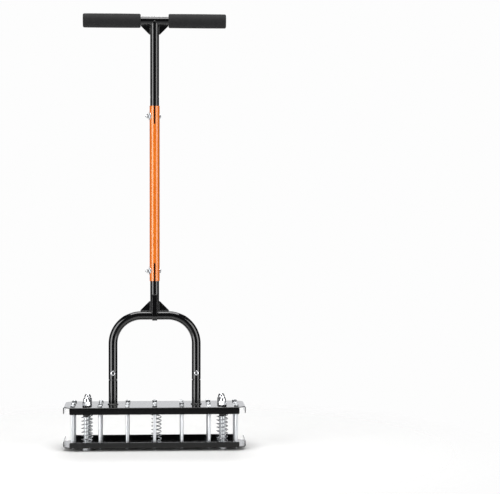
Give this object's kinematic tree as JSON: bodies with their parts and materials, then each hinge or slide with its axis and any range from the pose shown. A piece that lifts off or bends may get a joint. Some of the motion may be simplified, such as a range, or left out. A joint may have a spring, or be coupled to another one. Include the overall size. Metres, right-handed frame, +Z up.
{
  "type": "core aerator",
  "caption": "Spring-loaded stomp lawn aerator: a plate of solid spikes under a step-on fork with a height-adjustable T-handle",
  "frame": {"origin": "on the ground at the centre of the foot plates", "axes": "+Z up along the stems, X across the width of the plates and the handle, front is -Y"},
  "size_m": [0.445, 0.13, 1.0675],
  "materials": {
    "black_paint": "gloss black powder coat",
    "orange_paint": "gloss orange powder coat",
    "zinc": "bright zinc plate",
    "spike_steel": "drawn steel, zinc plated",
    "spring_steel": "plated spring wire",
    "black_nylon": "moulded black nylon",
    "foam": "closed-cell foam sleeve"
  },
  "bodies": {
    "base": {"base_plate": "black_paint", "guide_bolt_front_left": "zinc", "guide_bolt_front_right": "zinc", "guide_bolt_back_left": "zinc", "guide_bolt_back_right": "zinc", "guide_lock_nuts": "zinc", "cap_nuts": "zinc", "spring_front_left": "spring_steel", "spring_front_right": "spring_steel", "spring_back_left": "spring_steel", "spring_back_right": "spring_steel", "spring_centre": "spring_steel"},
    "carriage": {"crossbar": "black_paint", "upper_stem": "black_paint", "handle_gussets": "black_paint", "grip_left": "foam", "grip_right": "foam", "extension_tube": "orange_paint", "upper_clamp_bolt": "zinc", "lower_clamp_bolt": "zinc", "clamp_nuts": "zinc", "clamp_washers": "zinc", "lower_stem": "black_paint", "fork": "black_paint", "fork_gussets": "black_paint", "fork_strap": "black_paint", "left_leg_bolt": "zinc", "right_leg_bolt": "zinc", "leg_nuts": "zinc", "leg_washers": "zinc", "left_leg_socket": "black_paint", "right_leg_socket": "black_paint", "top_plate": "black_paint", "guide_bushes": "black_nylon", "spike_front_1": "spike_steel", "spike_front_2": "spike_steel", "spike_front_3": "spike_steel", "spike_front_4": "spike_steel", "spike_front_5": "spike_steel", "spike_front_6": "spike_steel", "spike_front_7": "spike_steel", "spike_middle_1": "spike_steel", "spike_middle_2": "spike_steel", "spike_middle_3": "spike_steel", "spike_middle_4": "spike_steel", "spike_middle_5": "spike_steel", "spike_middle_6": "spike_steel", "spike_middle_7": "spike_steel", "spike_back_1": "spike_steel", "spike_back_2": "spike_steel", "spike_back_3": "spike_steel", "spike_back_4": "spike_steel", "spike_back_5": "spike_steel", "spike_back_6": "spike_steel", "spike_back_7": "spike_steel", "spike_top_nuts": "zinc", "spike_lower_nuts": "zinc"}
  },
  "joints": [
    {"name": "plunge", "type": "slide", "parent": "base", "child": "carriage", "axis": [0, 0, 1], "range_m": [-0.05, 0], "stiffness_N_per_m": 6000, "springref_m": 0.015, "deforming": ["spring_front_left", "spring_front_right", "spring_back_left", "spring_back_right", "spring_centre"]}
  ]
}
